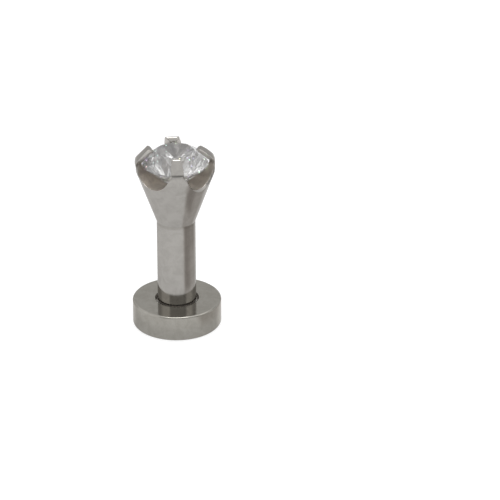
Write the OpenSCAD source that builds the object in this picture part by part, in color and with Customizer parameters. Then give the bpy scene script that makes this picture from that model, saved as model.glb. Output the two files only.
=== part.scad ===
// Ear gauge plug: a straight post that flares into a four-prong head with a round brilliant
// stone, and a thick back disc whose stem holds in the post's lower end.
// The plug stands on its back disc. +Z runs up the post, and the origin is the centre of the
// disc's underside. All sizes are in millimetres.

/* [Post] */
// Diameter of the straight post, 6 gauge
post_d = 4.1; // [3.8:0.1:4.4]
// Bare post between the back disc and the flare, where the ear lobe sits
wear_len = 9.2; // [8:0.2:12]
// Rounding of the post's lower edge
post_edge_r = 0.15; // [0.1:0.05:0.3]

/* [Head] */
// Outer diameter of the head's upright band
head_d = 8.3; // [8.2:0.1:8.6]
// Height from the crease at the flare's foot to where the prongs bend
head_h = 6.65; // [6.2:0.05:7]
// Half-angle of the flare, in degrees
flare_angle = 19.8; // [18:0.2:22]
// Rounding between the flare and the upright band
shoulder_r = 0.8; // [0.4:0.1:1.1]
// Turn of the prongs about the post's axis, in degrees
prong_turn = 4; // [-45:1:45]

/* [Notches] */
// Width of the notches at the height where the prongs bend
notch_w = 4.74; // [4.7:0.02:4.74]
// How far the crossing of the notches lies in front of the axis
notch_shift = 0.1; // [0:0.02:0.14]
// Turn of the notch that runs from front right to back left, from the front prong
notch_right_turn = 46.5; // [45:0.5:47]
// How far that notch is set over towards the front prong
notch_right_side = 0.05; // [0:0.01:0.08]
// Depth of that notch below the bend
notch_right_h = 2; // [1.9:0.05:2.2]
// Radius of its round bottom
notch_right_r = 1.95; // [1.9:0.05:2.1]
// Turn of the notch that runs from front left to back right, from the front prong
notch_left_turn = 45; // [44:0.5:46]
// Depth of that notch below the bend
notch_left_h = 1.85; // [1.8:0.05:2]
// Radius of its round bottom
notch_left_r = 2.3; // [2.2:0.05:2.3]
// How far inside the head's outer face the bevel of the front right notch starts
bevel_in = 0.79; // [0.7:0.01:0.85]
// Angle between that bevel and the notch, in degrees
bevel_angle = 61; // [55:1:64]
// Radius of the bevel across its run
bevel_r = 3; // [2.8:0.1:3]

/* [Prong tips] */
// How far above the band's top each prong bends. This list and those below run right, back, left, front
tip_rise = [0.2, 0.15, 0.08, 0]; // [0:0.01:0.25]
// How far the bend stands out from the band
tip_out = [0, 0, 0.11, 0]; // [0:0.01:0.15]
// How far the tip bends in from upright, in degrees
tip_bend = [50, 45, 45, 45]; // [43:1:50]
// Length of the tip beyond its bend
tip_len = [1.67, 1.48, 1.74, 1.64]; // [1.3:0.01:1.9]
// Width that the filed sides of the tip start from at the bend
tip_root_w = [1.75, 2, 1.75, 1.46]; // [1.4:0.01:2]
// Width across the tip's end
tip_end_w = [1.15, 1.6, 1.15, 1.08]; // [0.95:0.01:1.7]
// How far the middle of the tip lies to the right, seen from outside
tip_side = [0, 0.22, 0, 0]; // [0:0.01:0.25]
// Rounding of the end's two corners
tip_corner_r = [0.3, 0.3, 0.25, 0.45]; // [0.1:0.05:0.45]
// How much the outer face has come in at the end
tip_taper = [0.15, 0.03, 0.03, 0.03]; // [0.02:0.01:0.2]
// Rounding of the outer edge of the end
tip_edge_r = [0.42, 0.2, 0.35, 0.22]; // [0.1:0.01:0.43]
// Bend radius on the prong's inner face
tip_bend_r = 0.12; // [0.1:0.01:0.2]

/* [Stone] */
// Diameter of the stone across its girdle corners
stone_d = 7; // [6.9:0.05:7.05]
// Table width across corners, as a share of the stone's diameter
table_share = 0.57; // [0.5:0.01:0.62]
// Height of the crown above the girdle
crown_h = 1.25; // [0.9:0.05:1.3]
// Thickness of the girdle
girdle_t = 0.16; // [0.1:0.02:0.24]
// Depth of the pavilion below the girdle
pavilion_h = 3; // [2.8:0.05:3.1]
// Turn of the facets about the post's axis, in degrees
stone_turn = 10; // [0:1:45]
// How far the stone leans forward in its seat, in degrees
stone_tilt = 1.2; // [0:0.1:1.4]

/* [Back disc] */
// Diameter of the back disc
disc_d = 9.45; // [8.6:0.05:10.4]
// Thickness of the back disc
disc_t = 2.8; // [2.4:0.1:3.4]
// Rounding of the disc's upper edge
disc_top_r = 0.2; // [0.1:0.05:0.4]
// Rounding of the disc's lower edge
disc_foot_r = 0.3; // [0.1:0.05:0.4]
// Diameter of the counterbore round the post's lower end
recess_d = 4.7; // [4.5:0.1:5]
// Depth of the counterbore
recess_h = 0.5; // [0.4:0.1:1.4]

/* [Stem] */
// Diameter of the stem inside the post
stem_d = 2.4; // [2:0.1:2.6]
// Length of the stem above the counterbore's floor
stem_len = 6; // [4:0.5:7]

/* [Hidden] */

// The post's foot is a little slimmer than the post, and starts foot_drop below the disc's top.
// It stands a hair above the counterbore's floor, and the stem has a sliding fit in it.
foot_drop = 0.25;
foot_step = 0.25;
seat_gap = 0.03;
stem_gap = 0.05;
stem_chamfer = 0.25;
bore_end_gap = 0.5;
post_foot_z = disc_t - recess_h + seat_gap;
foot_top_z = disc_t - foot_drop;
stem_top_z = disc_t - recess_h + stem_len;

post_r = post_d / 2;
head_r = head_d / 2;
crease_z = disc_t + wear_len;
bend_z = crease_z + head_h;
shoulder_z = crease_z + (head_r - post_r) / tan(flare_angle);

// The stone sits inside the prongs with a hair of room all round.
stone_gap = 0.03;
tip_gap = 0.04;
stone_r = stone_d / 2;
prong_in_r = stone_r + stone_gap;

// A prong grows out of the band from lean_h below the bend, a hair inside it, and bends about a
// line just inside its inner face.
lean_h = 0.6;
root_inset = 0.01;
hinge_r = prong_in_r - tip_bend_r;

// The upper edge of the girdle lies tip_gap or more below each tip's inner face.
function prong_angle(k) = prong_turn + 90 * k;
function under_tip_z(k) = bend_z + tip_rise[k]
    + (tip_bend_r - tip_gap - cos(tip_bend[k]) * (stone_r - hinge_r)) / sin(tip_bend[k]);
girdle_top_z = min([for (k = [0 : 3])
    under_tip_z(k) - stone_r * sin(stone_tilt) * sin(prong_angle(k))]);
culet_z = girdle_top_z - girdle_t - pavilion_h;

// The seat is a cone that lies seat_drop below the stone's own.
seat_drop = 0.14;
seat_slope = pavilion_h / stone_r;

// Crown: the star facets reach star_share of the way from the table's edge to the girdle.
// Pavilion: the lower girdle facets reach lower_share of the way from the girdle to the culet.
star_share = 0.5;
lower_share = 0.8;

past = 1;
$fn = 96;

// A square with two opposite corners at the given points
module rect(a, b) {
    translate(a) square(b - a);
}

// Back disc

module back_disc_profile() {
    r = disc_d / 2;
    rect([0, 0], [r - disc_foot_r, disc_t - disc_top_r]);
    rect([0, disc_foot_r], [r, disc_t - disc_top_r]);
    rect([0, disc_foot_r], [r - disc_top_r, disc_t]);
    translate([r - disc_foot_r, disc_foot_r]) circle(disc_foot_r);
    translate([r - disc_top_r, disc_t - disc_top_r]) circle(disc_top_r);
}

module stem_profile() {
    r = stem_d / 2;
    foot = disc_t - recess_h - past / 2;
    polygon([[0, foot], [r, foot], [r, stem_top_z - stem_chamfer],
             [r - stem_chamfer, stem_top_z], [0, stem_top_z]]);
}

module back_disc() {
    color([0.62, 0.61, 0.60])
    rotate_extrude() {
        difference() {
            back_disc_profile();
            rect([0, disc_t - recess_h], [recess_d / 2, disc_t + past]);
        }
        stem_profile();
    }
}

// Post and head

// Half of the turned outline, from the post's foot to the bend
module turned_profile() {
    edge = post_edge_r;
    // where the rounding meets the flare and the band
    reach = shoulder_r * tan(flare_angle / 2);
    lean = [reach * sin(flare_angle), reach * cos(flare_angle)];
    rect([0, post_foot_z], [post_r - foot_step, crease_z]);
    rect([0, foot_top_z], [post_r - edge, crease_z]);
    rect([0, foot_top_z + edge], [post_r, crease_z]);
    translate([post_r - edge, foot_top_z + edge]) circle(edge);
    polygon([[0, crease_z - past], [post_r, crease_z - past], [post_r, crease_z],
             [head_r - lean[0], shoulder_z - lean[1]], [head_r, shoulder_z + reach],
             [head_r, bend_z], [0, bend_z]]);
    translate([head_r - shoulder_r, shoulder_z + reach]) circle(shoulder_r);
}

// The space for the stone, cut from the turned outline
module seat_profile() {
    apex = culet_z - seat_drop;
    polygon([[0, apex], [prong_in_r, apex + seat_slope * prong_in_r],
             [prong_in_r, bend_z + past], [0, bend_z + past]]);
}

module bore_profile() {
    rect([0, post_foot_z - past], [stem_d / 2 + stem_gap, stem_top_z + bore_end_gap]);
}

// Section of a notch, with y measured from the bend: a round bottom of radius r, then straight
// walls that lean out to notch_w at the bend
module notch_profile(depth, r) {
    centre = r - depth;
    out = notch_w / 2;
    // where the wall leaves the round bottom, and the wall's direction
    turn = atan2(-centre, out) - acos(r / norm([out, centre]));
    from = [r * cos(turn), centre + r * sin(turn)];
    along = [-sin(turn), cos(turn)];
    top = from + (norm([out, 0] - from) + past) * along;
    translate([0, centre]) circle(r);
    polygon([from, top, [-top[0], top[1]], [-from[0], from[1]]]);
}

// Moves its children to the middle of a notch, with +Z out to the notch's front end
module notch_run(turn, side) {
    rotate(prong_turn) translate([0, -notch_shift, bend_z]) rotate([90, 0, turn])
        translate([side, 0, 0]) children();
}

module notch(depth, r) {
    linear_extrude(head_d + 2 * past, center = true) notch_profile(depth, r);
}

// Round file stroke that bevels the rim at the front end of a notch
module rim_bevel(depth) {
    translate([0, -depth, head_r - bevel_in]) rotate([bevel_angle, 0, 0])
        translate([0, bevel_r, -depth]) cylinder(r = bevel_r, h = 2 * depth);
}

module turned_body() {
    difference() {
        rotate_extrude() difference() {
            turned_profile();
            seat_profile();
            bore_profile();
        }
        notch_run(notch_right_turn, -notch_right_side) {
            notch(notch_right_h, notch_right_r);
            rim_bevel(notch_right_h);
        }
        notch_run(-notch_left_turn, 0) notch(notch_left_h, notch_left_r);
    }
}

// Plan of what the notches leave of prong number k at the bend, with the prong along +X
module prong_plan(k) {
    band = [notch_w + 2 * root_inset, 2 * head_d];
    difference() {
        rect([0.8 * prong_in_r, -head_r / 2], [head_r + past, head_r / 2]);
        rotate(-90 * k) translate([0, -notch_shift]) {
            rotate(notch_right_turn) translate([-notch_right_side, 0]) square(band, center = true);
            rotate(-notch_left_turn) square(band, center = true);
        }
    }
}

// The root of prong number k leans out to the bend
module prong_root(k) {
    near = prong_in_r + root_inset;
    far = head_r - root_inset;
    top = bend_z + tip_rise[k];
    intersection() {
        rotate_extrude() polygon([[near, bend_z - lean_h], [far, bend_z - lean_h],
                                  [far + tip_out[k], top], [near, top]]);
        linear_extrude(top + past) prong_plan(k);
    }
}

// Cross-section of prong number k at its bend
module prong_section(k) {
    intersection() {
        difference() {
            circle(head_r - root_inset + tip_out[k]);
            circle(prong_in_r + root_inset);
        }
        prong_plan(k);
    }
}

// Tip number k as seen square to its outer face: sides filed in towards a rounded end
module tip_outline(k) {
    root = tip_root_w[k] / 2;
    end = tip_end_w[k] / 2;
    r = tip_corner_r[k];
    straight = tip_len[k] - r;
    translate([tip_side[k], 0]) {
        polygon([[-root, 0], [root, 0], [end, straight], [-end, straight]]);
        rect([-end + r, 0], [end - r, tip_len[k]]);
        for (side = [-1, 1]) translate([side * (end - r), straight]) circle(r);
    }
}

// Tip number k as seen from its side, with x measured out from the bend's middle: the outer
// face comes in a little towards a rounded edge
module tip_side_view(k) {
    r = tip_edge_r[k];
    out = head_r + tip_out[k] - hinge_r;
    lean = atan(tip_taper[k] / tip_len[k]);
    mid = [out - tip_taper[k] * (1 - r / tip_len[k]) - r / cos(lean), tip_len[k] - r];
    polygon([[-past, 0], [out, 0], mid + r * [cos(lean), sin(lean)], [mid[0], tip_len[k]],
             [-past, tip_len[k]]]);
    translate(mid) circle(r);
}

// Prong number k above the band: its root, the bend, then a straight filed tip
module prong_tip(k) {
    rotate(prong_angle(k)) {
        prong_root(k);
        translate([hinge_r, 0, bend_z + tip_rise[k]]) {
            rotate([90, 0, 0]) rotate_extrude(angle = tip_bend[k])
                translate([-hinge_r, 0]) mirror([0, 1]) prong_section(k);
            rotate([0, -tip_bend[k], 0]) intersection() {
                translate([-hinge_r, 0, 0]) linear_extrude(tip_len[k]) prong_section(k);
                translate([-past, 0, 0]) rotate([90, 0, 90])
                    linear_extrude(head_r) tip_outline(k);
                rotate([90, 0, 0]) linear_extrude(head_r, center = true) tip_side_view(k);
            }
        }
    }
}

module prong_post() {
    color([0.60, 0.59, 0.57]) {
        turned_body();
        for (k = [0 : 3]) prong_tip(k);
    }
}

// Stone

// Points at radius r and height z, count to the round, from an angle on
function ring(count, r, z, from = 0) =
    [for (i = [0 : count - 1]) [r * cos(from + i * 360 / count), r * sin(from + i * 360 / count), z]];

module gemstone() {
    mains = 8;
    step = 180 / mains;
    table_r = table_share * stone_r;
    // heights are measured from the girdle's upper edge
    low_z = -girdle_t - pavilion_h;
    // a star tip lies in the plane of the bezel facets beside it
    star_r = table_r * cos(step) + star_share * (stone_r - table_r * cos(step));
    star_z = crown_h - crown_h * (star_r * cos(step) - table_r) / (stone_r - table_r);
    // a lower point lies in the plane of the pavilion facets beside it
    lower_r = (1 - lower_share) * stone_r;
    lower_z = low_z + pavilion_h * lower_r * cos(step) / stone_r;
    points = concat(
        [[0, 0, low_z]],
        ring(mains, lower_r, lower_z, step),
        ring(2 * mains, stone_r, -girdle_t),
        ring(2 * mains, stone_r, 0),
        ring(mains, star_r, star_z, step),
        ring(mains, table_r, crown_h));
    // first index of each ring above
    low = 1;
    foot = low + mains;
    top = foot + 2 * mains;
    star = top + 2 * mains;
    tab = star + mains;
    all = [for (i = [0 : mains - 1]) i];
    function before(i) = (i + mains - 1) % mains;
    function half(i) = (i + 2 * mains) % (2 * mains);
    faces = concat(
        [[for (i = all) tab + mains - 1 - i]],
        [for (i = all) [tab + (i + 1) % mains, star + i, tab + i]],
        [for (i = all) [tab + i, star + i, top + 2 * i, star + before(i)]],
        [for (i = all) [star + i, top + 2 * i + 1, top + 2 * i]],
        [for (i = all) [star + before(i), top + 2 * i, top + half(2 * i - 1)]],
        [for (i = [0 : 2 * mains - 1]) [top + i, top + half(i + 1), foot + half(i + 1), foot + i]],
        [for (i = all) [low + i, foot + 2 * i, foot + 2 * i + 1]],
        [for (i = all) [low + before(i), foot + half(2 * i - 1), foot + 2 * i]],
        [for (i = all) [0, low + before(i), foot + 2 * i, low + i]]);
    color([0.93, 0.94, 0.96])
        translate([0, 0, girdle_top_z]) rotate([stone_tilt, 0, 0]) rotate(stone_turn)
            polyhedron(points, faces, convexity = 2);
}

back_disc();
prong_post();
gemstone();
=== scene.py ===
"""Looks of an ear gauge plug: a polished steel post, its prong-set clear stone and its back disc.

The plug stands on its back disc. +Z runs up the post and the camera looks along +Y. Blender works
in metres. Sizes and places here are in millimetres, and MM turns them into metres.
"""

import math

import bpy
from mathutils import Matrix, Vector

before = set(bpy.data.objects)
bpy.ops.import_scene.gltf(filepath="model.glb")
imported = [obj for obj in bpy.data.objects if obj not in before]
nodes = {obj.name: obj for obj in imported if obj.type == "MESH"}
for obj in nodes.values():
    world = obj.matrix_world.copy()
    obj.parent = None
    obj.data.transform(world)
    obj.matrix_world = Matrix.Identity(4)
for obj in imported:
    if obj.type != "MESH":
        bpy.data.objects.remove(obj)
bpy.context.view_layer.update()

MM = 0.001
PER_METRE = 1000.0

# The turned outline of the disc, post and head
DISC_T = 2.8
COUNTERBORE_R = 2.35
POST_R = 2.05
CREASE_Z = 12.0
FLARE_SLOPE = math.tan(math.radians(19.8))
HEAD_R = 4.15
BEND_Z = 18.65
# Just below the cone of the stone's seat
SEAT_FOOT_Z = 15.0
# How far to each side of the axis the stone's light changes
STONE_REACH = 3.2

# Colours as red, green and blue. Steel and its stain go from the lighter to the darker tone.
DISC_STEEL = (0.39, 0.376, 0.342), (0.33, 0.315, 0.283)
POST_STEEL = (0.41, 0.395, 0.372), (0.352, 0.338, 0.316)
NOTCH_WALL = (0.342, 0.308, 0.27), (0.258, 0.231, 0.2)
# the notch floors' stain, painted lighter than the walls' with light from above
NOTCH_FLOOR_STAIN_AND_LIGHT = (0.76, 0.684, 0.6), (0.59, 0.529, 0.465)
# painted highlight along the rims of the notch walls
NOTCH_RIM_HIGHLIGHT = (0.48, 0.452, 0.415)
FILED_TIP = (0.6, 0.575, 0.542)
# painted shade along the crease under the flare
CREASE_SHADE = (0.21, 0.195, 0.17)
BARE_BORE = (0.38, 0.36, 0.33)
STEEL_EDGE_ON = (0.72, 0.71, 0.7, 1)
# the stone's colour, painted from dim to bright by how light falls on its facets
STONE_DIM, STONE_BRIGHT = (0.31, 0.306, 0.303), (0.97, 0.965, 0.962)
BLACK = (0.0, 0.0, 0.0)
WHITE = (1.0, 1.0, 1.0)
WARM_WHITE = (1.0, 0.88, 0.8)

# Lowest and highest roughness of the polished steel, the radius that its edges are worn to, and
# the depth of its polish lines
DISC_SHEEN = (0.07, 0.13)
POST_SHEEN = (0.06, 0.12)
DISC_EDGE_R = 0.07
POST_EDGE_R = 0.12
LINE_DEPTH = 0.02

# Each facet draws one random tone that paints it lighter or darker, as light on it would:
# directions within a step of each other share a draw
FACET_STEP = (0.08, 0.08, 0.08)
FACET_DRAW = (1.637, 1.241, 3.433)
# Painted sparks of light that glow in the stone: how close, how large, the share that is lit,
# and how coloured they are
SPARKS_PER_MM = 2.0
SPARK_SIZE = 0.21
SPARKS_LIT = 0.07
SPARK_COLOUR = 0.35

# Light that the table and the white tent give off, where 1 is the picture's white
TABLE_GLOW = 0.78
# painted shade: the lower glow of the table close to the disc, which only its reflections show
TABLE_SHADED_BY_DISC = 0.74
TENT_GLOW = 0.95
SIDE_LAMP = 0.8
OVERHEAD_LAMP = 4.6
# and the light that is missing at the tent's opening, low in it, at its back and on its right
OPENING_DARK = 0.475
OPENING_DARKER_LOW = 0.2
BACK_DARK = 0.22
SIDE_DARK = 0.6

# Soft edges, as where they start and where they are full. Bearings are in degrees round from
# the camera's side, growing to the right. Heights in the tent go from 0 at the table to 1.
# the wedge is the painted dark wedge in the steel's reflections of the table
WEDGE_START, WEDGE_END = (33.0, 58.0), (140.0, 116.0)
OPENING_LEFT, OPENING_RIGHT = (-50.0, -37.0), (68.0, 50.0)
OPENING_FOOT, OPENING_TOP = (0.0, 0.06), (0.62, 0.52)
STRIP_FOOT, STRIP_TOP = (0.3, 0.37), (0.58, 0.52)
SIDE_DARK_FOOT, SIDE_DARK_TOP = (0.48, 0.53), (0.66, 0.6)


# Node helpers

def give(tree, socket, value):
    """Links a socket to the input, or sets the input to a plain value."""
    if isinstance(value, bpy.types.NodeSocket):
        tree.links.new(value, socket)
    else:
        socket.default_value = value


def node(tree, kind, values=None, **settings):
    """A new node. Settings are the node's own, and values go to its inputs by name or number."""
    n = tree.nodes.new(kind)
    for name, value in settings.items():
        setattr(n, name, value)
    for name, value in (values or {}).items():
        give(tree, n.inputs[name], value)
    return n


def maths(tree, operation, *values, clamp=False):
    n = node(tree, "ShaderNodeMath", operation=operation, use_clamp=clamp)
    for socket, value in zip(n.inputs, values):
        give(tree, socket, value)
    return n.outputs[0]


def chain(tree, operation, values):
    result = values[0]
    for value in values[1:]:
        result = maths(tree, operation, result, value)
    return result


def add(tree, *values):
    return chain(tree, "ADD", values)


def multiply(tree, *values):
    return chain(tree, "MULTIPLY", values)


def subtract(tree, first, second):
    return maths(tree, "SUBTRACT", first, second)


def soft_step(tree, value, low, high, height=1.0):
    """0 below low and height above high, eased between them. A low above high turns it round."""
    n = node(tree, "ShaderNodeMapRange",
             {"Value": value, "From Min": low, "From Max": high, "To Max": height},
             interpolation_type="SMOOTHERSTEP", clamp=True)
    return n.outputs[0]


def band(tree, value, rise, fall):
    """1 between its two edges. Rise and fall are the low and high of two soft steps."""
    return multiply(tree, soft_step(tree, value, *rise), soft_step(tree, value, *fall))


def blend_numbers(tree, share, first, second):
    return node(tree, "ShaderNodeMix", {0: share, 2: first, 3: second}).outputs[0]


def blend_colours(tree, share, first, second, mode="MIX"):
    """Colours are sockets, or red, green and blue."""
    n = node(tree, "ShaderNodeMix", {0: share}, data_type="RGBA", blend_type=mode)
    for socket, colour in ((n.inputs[6], first), (n.inputs[7], second)):
        give(tree, socket, (*colour, 1) if isinstance(colour, tuple) else colour)
    return n.outputs[2]


def scale_vector(tree, vector, factor):
    n = node(tree, "ShaderNodeVectorMath", {0: vector, "Scale": factor}, operation="SCALE")
    return n.outputs[0]


def split(tree, vector):
    n = node(tree, "ShaderNodeSeparateXYZ", {0: vector})
    return n.outputs[0], n.outputs[1], n.outputs[2]


def millimetres(tree):
    """Place on the piece, in millimetres."""
    return scale_vector(tree, node(tree, "ShaderNodeTexCoord").outputs["Object"], PER_METRE)


def distance_from_axis(tree, x, y):
    return maths(tree, "SQRT", add(tree, multiply(tree, x, x), multiply(tree, y, y)))


def noise(tree, place, scale, detail, **more):
    """Noise from 0 to 1."""
    values = {"Vector": place, "Scale": scale, "Detail": detail, **more}
    return node(tree, "ShaderNodeTexNoise", values).outputs["Fac"]


def new_group(name, inputs, outputs, output_type="NodeSocketFloat"):
    """An empty shader node group. Inputs are (name, default), all of them numbers."""
    tree = bpy.data.node_groups.new(name, "ShaderNodeTree")
    for label, value in inputs:
        socket = tree.interface.new_socket(
            name=label, in_out="INPUT", socket_type="NodeSocketFloat")
        socket.default_value = value
    for label in outputs:
        tree.interface.new_socket(name=label, in_out="OUTPUT", socket_type=output_type)
    return tree, tree.nodes.new("NodeGroupInput").outputs, tree.nodes.new("NodeGroupOutput").inputs


def place_group(tree, group, **values):
    """Places a group in a material, with the material's own values, and returns its outputs."""
    n = node(tree, "ShaderNodeGroup", node_tree=group)
    for label, value in values.items():
        give(tree, n.inputs[label.replace("_", " ")], value)
    return n.outputs


# Finishes that more than one material uses

def worn_edges_group():
    """Normals of edges that polishing has rounded."""
    tree, given, made = new_group(
        "worn edges", [("Radius in mm", 0.1)], ["Normal"], "NodeSocketVector")
    radius = multiply(tree, given["Radius in mm"], MM)
    rounded = node(tree, "ShaderNodeBevel", {"Radius": radius}, samples=8)
    give(tree, made["Normal"], rounded.outputs[0])
    return tree


def polish_lines_group():
    """Fine rings that turning and polishing leave round the axis, crossed by hairline scratches."""
    tree, given, made = new_group(
        "polish lines",
        [("Lines per mm", 7.0), ("Waviness", 0.3), ("Scratch share", 0.3),
         ("Scratches per mm", 3.0)],
        ["Height", "Sheen"])
    place = millimetres(tree)
    x, y, z = split(tree, place)
    radius = distance_from_axis(tree, x, y)
    wander = multiply(tree, noise(tree, place, 0.35, 1.0), given["Waviness"])
    across = node(tree, "ShaderNodeCombineXYZ", {
        0: multiply(tree, add(tree, radius, wander), given["Lines per mm"]),
        1: multiply(tree, add(tree, z, wander), given["Lines per mm"])}).outputs[0]
    rings = noise(tree, across, 1.0, 3.0, Roughness=0.7)
    scratches = 0.0
    for turn, stretch in (((0.4, 0.2, 0.9), (1.0, 14.0, 1.0)),
                          ((1.2, 0.7, 0.1), (16.0, 1.0, 1.2)),
                          ((0.1, 1.3, 0.5), (1.0, 1.1, 12.0))):
        turned = node(tree, "ShaderNodeMapping",
                      {"Vector": place, "Rotation": turn, "Scale": stretch}).outputs[0]
        streak = noise(tree, turned, given["Scratches per mm"], 2.0, Distortion=0.4)
        scratches = maths(tree, "MAXIMUM", scratches, soft_step(tree, streak, 0.66, 0.74))
    scratches = multiply(tree, scratches, given["Scratch share"])
    give(tree, made["Height"], subtract(tree, rings, scratches))
    give(tree, made["Sheen"], add(tree, rings, scratches))
    return tree


def handling_marks_group():
    """Soft clouds of finger grease and tarnish, and a sprinkle of fine specks."""
    tree, given, made = new_group(
        "handling marks",
        [("Clouds per mm", 0.45), ("Specks per mm", 9.0), ("Speck share", 0.25)],
        ["Cloud", "Speck"])
    place = millimetres(tree)
    cloud = noise(tree, place, given["Clouds per mm"], 5.0, Roughness=0.62, Distortion=0.6)
    grain = noise(tree, place, given["Specks per mm"], 1.0)
    give(tree, made["Cloud"], soft_step(tree, cloud, 0.3, 0.7))
    give(tree, made["Speck"], soft_step(tree, grain, 0.6, 0.72, given["Speck share"]))
    return tree


WORN_EDGES = worn_edges_group()
POLISH_LINES = polish_lines_group()
HANDLING_MARKS = handling_marks_group()


# Materials

def new_material(name):
    m = bpy.data.materials.new(name)
    m.use_nodes = True
    return m, m.node_tree, m.node_tree.nodes["Principled BSDF"]


def polished_steel(tree, shader, tones, sheen, edge_r):
    """Gives the shader the relief of polished steel, and returns its colour and roughness. Handling
    marks blend the two tones and the two ends of the sheen."""
    marks = place_group(tree, HANDLING_MARKS, Clouds_per_mm=1.0)
    lines = place_group(tree, POLISH_LINES, Lines_per_mm=7.0, Scratch_share=0.3)
    edges = place_group(tree, WORN_EDGES, Radius_in_mm=edge_r)
    relief = node(tree, "ShaderNodeBump", {
        "Strength": 0.05, "Distance": LINE_DEPTH * MM,
        "Height": lines["Height"], "Normal": edges["Normal"]})
    give(tree, shader.inputs["Normal"], relief.outputs[0])
    give(tree, shader.inputs["Specular Tint"], STEEL_EDGE_ON)
    low, high = sheen
    rough = add(tree, low, multiply(tree, marks["Cloud"], high - low),
                multiply(tree, lines["Sheen"], 0.05))
    dull = maths(tree, "ADD", multiply(tree, marks["Cloud"], 0.7), marks["Speck"], clamp=True)
    return blend_colours(tree, dull, *tones), rough


def below_disc_top(tree, z):
    return soft_step(tree, z, DISC_T + 0.01, DISC_T - 0.04)


def disc_steel():
    m, tree, shader = new_material("disc steel")
    x, y, z = split(tree, millimetres(tree))
    radius = distance_from_axis(tree, x, y)
    # the counterbore's rim is left sharp, and the counterbore itself is bare and dull
    edge_r = soft_step(tree, radius, COUNTERBORE_R + 0.15, COUNTERBORE_R + 0.35, DISC_EDGE_R)
    bore = multiply(tree, soft_step(tree, radius, COUNTERBORE_R + 0.07, COUNTERBORE_R + 0.02),
                    below_disc_top(tree, z))
    colour, rough = polished_steel(tree, shader, DISC_STEEL, DISC_SHEEN, edge_r)
    give(tree, shader.inputs["Base Color"], blend_colours(tree, bore, colour, BARE_BORE))
    give(tree, shader.inputs["Roughness"], blend_numbers(tree, bore, rough, 0.5))
    give(tree, shader.inputs["Metallic"], subtract(tree, 1.0, multiply(tree, bore, 0.9)))
    return m


def unpolished_places_and_painted_light(tree, x, y, z):
    """Where the polishing wheel didn't reach, and where light is painted on the notches, as four
    masks. Raw is 1 on the notches, inside the head and on the foot in the counterbore. Floor grows
    from 0 on walls to 1 on floors, which are painted lighter. Rim marks the rims of the walls for a
    painted highlight, and filed the sides of the tips, which the file left brighter."""
    radius = distance_from_axis(tree, x, y)
    rise = subtract(tree, z, CREASE_Z)
    outline = maths(tree, "MINIMUM", add(tree, POST_R, multiply(tree, FLARE_SLOPE, rise)), HEAD_R)
    inside = subtract(tree, outline, radius)
    facing = node(tree, "ShaderNodeNewGeometry").outputs["True Normal"]
    facing = node(tree, "ShaderNodeVectorTransform", {0: facing}, vector_type="NORMAL",
                  convert_from="WORLD", convert_to="OBJECT").outputs[0]
    nx, ny, nz = split(tree, facing)
    outward = maths(tree, "DIVIDE", add(tree, multiply(tree, nx, x), multiply(tree, ny, y)),
                    maths(tree, "MAXIMUM", radius, 0.01))
    # faces that don't look outwards, in the head and a hair inside its outline
    turned_in = soft_step(tree, outward, 0.5, 0.3)
    # the ends of the tips are polished, their sides aren't
    tip_end = multiply(tree, soft_step(tree, z, BEND_Z + 0.3, BEND_Z + 0.8),
                       soft_step(tree, nz, 0.35, 0.6))
    head = multiply(tree, soft_step(tree, z, SEAT_FOOT_Z - 0.1, SEAT_FOOT_Z + 0.1),
                    subtract(tree, 1.0, tip_end))
    raw = multiply(tree, turned_in, head, soft_step(tree, inside, 0.02, 0.1))
    raw = maths(tree, "MAXIMUM", raw, below_disc_top(tree, z))
    floor = soft_step(tree, nz, 0.3, 0.85)
    rim = maths(tree, "MULTIPLY", soft_step(tree, inside, 0.42, 0.12), subtract(tree, 0.6, floor),
                clamp=True)
    filed = soft_step(tree, z, BEND_Z + 0.1, BEND_Z + 0.7)
    return raw, floor, rim, filed


def post_steel():
    m, tree, shader = new_material("post steel")
    x, y, z = split(tree, millimetres(tree))
    raw, floor, rim, filed = unpolished_places_and_painted_light(tree, x, y, z)
    colour, rough = polished_steel(tree, shader, POST_STEEL, POST_SHEEN, POST_EDGE_R)
    # painted shade: a dark band along the crease under the flare
    crease = band(tree, z, (CREASE_Z - 0.4, CREASE_Z - 0.1), (CREASE_Z + 0.15, CREASE_Z))
    colour = blend_colours(tree, multiply(tree, crease, 0.3), colour, CREASE_SHADE)
    stain = place_group(
        tree, HANDLING_MARKS, Clouds_per_mm=1.1, Specks_per_mm=6.0, Speck_share=0.5)
    tone = maths(tree, "ADD", stain["Cloud"], stain["Speck"], clamp=True)
    # painted shade: the notches on the right are cut deeper, and their floors are painted darker
    ground = blend_colours(tree, soft_step(tree, x, 0.0, 1.5, 0.2),
                           blend_colours(tree, tone, *NOTCH_FLOOR_STAIN_AND_LIGHT), BLACK)
    # painted light: faces that look up take the lighter floor colour
    brown = blend_colours(tree, floor, blend_colours(tree, tone, *NOTCH_WALL), ground)
    # painted highlight along the rims of the notch walls
    brown = blend_colours(tree, rim, brown, NOTCH_RIM_HIGHLIGHT)
    brown = blend_colours(tree, filed, brown, FILED_TIP)
    raw_rough = add(tree, 0.28, multiply(tree, stain["Cloud"], 0.14))
    give(tree, shader.inputs["Base Color"], blend_colours(tree, raw, colour, brown))
    give(tree, shader.inputs["Roughness"], blend_numbers(tree, raw, rough, raw_rough))
    # the stain takes away a third of the steel's shine
    give(tree, shader.inputs["Metallic"], subtract(tree, 1.0, multiply(tree, raw, 0.35)))
    return m


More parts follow.
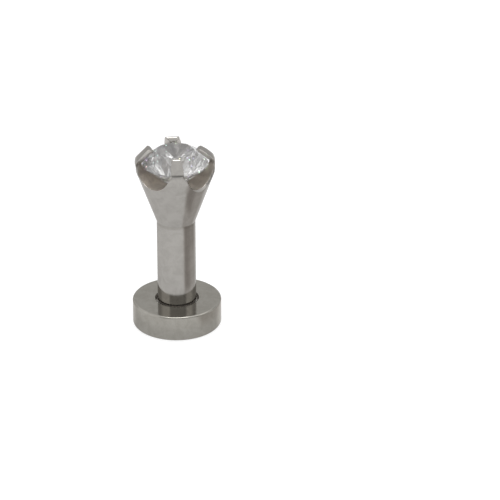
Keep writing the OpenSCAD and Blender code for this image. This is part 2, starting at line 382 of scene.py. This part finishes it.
def painted_sparkle(tree):
    """Painted glints: small coloured sparks that glow like the light a cut stone throws, black
    between them, and the patches of painted light and shade that they lie in, from 0 to 1."""
    cells = node(tree, "ShaderNodeTexVoronoi",
                 {"Vector": millimetres(tree), "Scale": SPARKS_PER_MM}, voronoi_dimensions="2D")
    near = soft_step(tree, cells.outputs["Distance"], SPARK_SIZE, 0.0)
    draw = node(tree, "ShaderNodeSeparateColor", {0: cells.outputs["Color"]}).outputs
    lit = maths(tree, "LESS_THAN", draw[0], SPARKS_LIT)
    sparks = node(tree, "ShaderNodeCombineColor",
                  {0: draw[1], 1: SPARK_COLOUR, 2: multiply(tree, near, lit)}, mode="HSV")
    return sparks.outputs[0], draw[2]


def clear_stone():
    m, tree, shader = new_material("clear stone")
    give(tree, shader.inputs["Metallic"], 0.0)
    give(tree, shader.inputs["Transmission Weight"], 0.84)
    give(tree, shader.inputs["IOR"], 2.16)
    marks = place_group(
        tree, HANDLING_MARKS, Clouds_per_mm=0.6, Specks_per_mm=5.0, Speck_share=0.1)
    give(tree, shader.inputs["Roughness"], add(tree, 0.02, multiply(tree, marks["Speck"], 0.2)))
    surface = node(tree, "ShaderNodeNewGeometry").outputs
    side = subtract(tree, 1.0, multiply(tree, surface["Backfacing"], 2.0))
    facing = scale_vector(tree, surface["True Normal"], side)
    nx, ny, nz = split(tree, facing)
    moved = node(tree, "ShaderNodeVectorMath", {0: facing, 1: FACET_DRAW}, operation="ADD")
    facet = node(tree, "ShaderNodeVectorMath", {0: moved.outputs[0], 1: FACET_STEP},
                 operation="SNAP").outputs[0]
    tone = node(tree, "ShaderNodeTexWhiteNoise", {"Vector": facet}, noise_dimensions="3D")
    tone = tone.outputs["Value"]
    # painted light: brighter to the right and on facets facing right, and the level table painted
    # dim
    x, y, z = split(tree, millimetres(tree))
    light = add(tree, soft_step(tree, x, -STONE_REACH, STONE_REACH, 0.5),
                soft_step(tree, nx, -0.4, 0.5, 0.3), multiply(tree, tone, 0.3))
    light = multiply(tree, light, soft_step(tree, nz, 1.0, 0.985))
    tint = blend_colours(tree, light, STONE_DIM, STONE_BRIGHT)
    give(tree, shader.inputs["Base Color"], tint)
    # painted light: facets below the girdle glow as if throwing light back up, each by its own
    # share
    thrown = multiply(tree, soft_step(tree, nz, -0.1, -0.3), maths(tree, "POWER", tone, 2.6))
    share = add(tree, 0.025, soft_step(tree, x, -STONE_REACH, STONE_REACH, 0.185))
    sparks, patch = painted_sparkle(tree)
    patch = add(tree, 0.1, multiply(tree, maths(tree, "POWER", patch, 2.0), 2.7))
    glow = blend_colours(tree, 1.0, sparks, multiply(tree, thrown, share, patch), "ADD")
    give(tree, shader.inputs["Emission Color"], glow)
    give(tree, shader.inputs["Emission Strength"], 2.0)
    return m


materials = {"back_disc": disc_steel(), "prong_post": post_steel(), "gemstone": clear_stone()}
for name, material in materials.items():
    slots = nodes[name].data.materials
    for i in range(len(slots)):
        slots[i] = material


# Camera: a long lens above the table. The plug stands left of the picture's middle.

def place_camera():
    look_down = math.radians(26.5)
    distance = 320.96 * MM
    # in pixels of the picture: focal length, the middle, and the middle of the disc's underside
    focal = 3000.0
    middle = 250.0
    foot_across, foot_down = 177.29, 320.43
    forward = Vector((0, math.cos(look_down), -math.sin(look_down)))
    right = Vector((1, 0, 0))
    up = Vector((0, math.sin(look_down), math.cos(look_down)))
    foot = Vector((0, 0, 0))
    place = foot - distance * (forward + (foot_across - middle) / focal * right
                               - (foot_down - middle) / focal * up)
    data = bpy.data.cameras.new("camera")
    data.sensor_fit = "HORIZONTAL"
    data.sensor_width = 36.0
    data.lens = focal * data.sensor_width / (2 * middle)
    data.clip_start = 10 * MM
    data.clip_end = 10000 * MM
    camera = bpy.data.objects.new("camera", data)
    turn = Matrix((right, up, -forward)).transposed().to_4x4()
    camera.matrix_world = Matrix.Translation(place) @ turn
    bpy.context.scene.collection.objects.link(camera)
    bpy.context.scene.camera = camera


# Table top and the white tent round it

def bearing_of(tree, x, y):
    """Degrees round from the camera's side, growing to the right."""
    return maths(tree, "DEGREES", maths(tree, "ARCTAN2", x, multiply(tree, y, -1.0)))


def painted_dark_wedge(tree, reach, bearing):
    """Painted shade, seen only in the steel's reflections of the table: a soft dark wedge on the
    right, with faint streaks. It is deeper further out, and thins out towards the back."""
    spread = node(tree, "ShaderNodeCombineXYZ",
                  {0: multiply(tree, bearing, 0.16), 1: multiply(tree, reach, 0.05)})
    streaks = add(tree, 0.8, multiply(tree, noise(tree, spread.outputs[0], 1.0, 3.0), 0.4))
    fade = add(tree, 0.12, soft_step(tree, reach, 25.0, 13.0, 0.38))
    thin_out = subtract(tree, 1.0, soft_step(tree, bearing, 56.0, 112.0, fade))
    wedge = band(tree, bearing, WEDGE_START, WEDGE_END)
    depth = add(tree, soft_step(tree, reach, 5.4, 8.6, 0.3),
                soft_step(tree, reach, 9.8, 12.0, 0.25))
    return multiply(tree, wedge, thin_out, streaks, depth)


def painted_light_behind_disc(tree, reach, bearing):
    """Painted light, seen only in the steel's reflections: lighter places on both sides behind the
    disc, whose sides show them at a flat angle.
    """
    near_disc = 4.7
    degrees_per_mm = 9.0
    further = multiply(tree, subtract(tree, reach, near_disc), degrees_per_mm)
    right = soft_step(tree, subtract(tree, bearing, further), 61.0, 86.0, 0.5)
    left = soft_step(tree, add(tree, bearing, further), -66.0, -88.0, 0.3)
    return multiply(tree, add(tree, right, left), soft_step(tree, reach, 10.5, 8.5))


def painted_table_reflection(tree):
    """Painted reflection: the table as the polished steel shows it, with painted shade a little
    grey round the disc.
    """
    x, y, z = split(tree, millimetres(tree))
    reach = distance_from_axis(tree, x, y)
    bearing = bearing_of(tree, x, y)
    level = add(tree, TABLE_SHADED_BY_DISC, soft_step(tree, reach, 5.0, 9.5, 0.18),
                soft_step(tree, reach, 9.0, 22.0, 0.07))
    shade = painted_dark_wedge(tree, reach, bearing)
    level = multiply(tree, level, subtract(tree, 1.0, shade),
                     add(tree, 1.0, painted_light_behind_disc(tree, reach, bearing)))
    # the painted shade is warmer
    warm = blend_colours(tree, shade, WHITE, WARM_WHITE)
    return node(tree, "ShaderNodeEmission", {"Color": warm, "Strength": level}).outputs[0]


def table_top():
    half = 1500 * MM
    corners = [(-half, -half, 0), (half, -half, 0), (half, half, 0), (-half, half, 0)]
    mesh = bpy.data.meshes.new("table_top")
    mesh.from_pydata(corners, [], [(0, 1, 2, 3)])
    mesh.update()
    o = bpy.data.objects.new("table_top", mesh)
    bpy.context.scene.collection.objects.link(o)
    m, tree, shader = new_material("white card")
    give(tree, shader.inputs["Base Color"], (0.3, 0.3, 0.3, 1))
    give(tree, shader.inputs["Roughness"], 0.9)
    give(tree, shader.inputs["Specular IOR Level"], 0.0)
    give(tree, shader.inputs["Emission Color"], (1, 1, 1, 1))
    give(tree, shader.inputs["Emission Strength"], TABLE_GLOW)
    # rays that the steel reflects see the painted table reflection, and the camera the plain card
    in_steel = node(tree, "ShaderNodeLightPath").outputs["Is Glossy Ray"]
    seen = node(tree, "ShaderNodeMixShader",
                {0: in_steel, 1: shader.outputs[0], 2: painted_table_reflection(tree)})
    give(tree, tree.nodes["Material Output"].inputs["Surface"], seen.outputs[0])
    mesh.materials.append(m)


def white_tent():
    """An even white tent. Directions run from -1 to 1, with z 0 at the table and 1 overhead."""
    world = bpy.data.worlds.new("white tent")
    bpy.context.scene.world = world
    world.use_nodes = True
    tree = world.node_tree
    tree.nodes.clear()
    x, y, z = split(tree, node(tree, "ShaderNodeTexCoord").outputs["Generated"])
    back = multiply(tree, soft_step(tree, y, 0.0, 0.6), soft_step(tree, z, 0.8, 0.45, BACK_DARK))
    # the tent's opening on the camera's side
    bearing = bearing_of(tree, x, y)
    dark = add(tree, OPENING_DARK, soft_step(tree, z, 0.4, 0.28, OPENING_DARKER_LOW))
    opening = multiply(tree, band(tree, bearing, OPENING_LEFT, OPENING_RIGHT),
                       band(tree, z, OPENING_FOOT, OPENING_TOP), dark)
    light = subtract(tree, subtract(tree, TENT_GLOW, back), opening)
    # a lighter strip round the front, at the height that the foot and the disc's sides show
    strip = multiply(tree, band(tree, z, STRIP_FOOT, STRIP_TOP),
                     soft_step(tree, y, 0.3, 0.0, 0.25))
    light = multiply(tree, light, add(tree, 1.0, strip))
    # a soft lamp on the right, dim cloth below it, and a lamp overhead
    side = multiply(tree, soft_step(tree, x, 0.35, 0.6), soft_step(tree, z, 0.64, 0.74, SIDE_LAMP))
    dark_side = multiply(tree, band(tree, z, SIDE_DARK_FOOT, SIDE_DARK_TOP),
                         soft_step(tree, x, 0.5, 0.65, SIDE_DARK))
    light = subtract(tree, add(tree, light, side), dark_side)
    light = add(tree, light, soft_step(tree, z, 0.95, 0.985, OVERHEAD_LAMP))
    glow = node(tree, "ShaderNodeBackground", {"Color": (1, 1, 1, 1), "Strength": light})
    node(tree, "ShaderNodeOutputWorld", {"Surface": glow.outputs[0]})


place_camera()
table_top()
white_tent()
view = bpy.context.scene.view_settings
view.view_transform = "Standard"
view.look = "None"
view.exposure = 0.0
view.gamma = 1.0
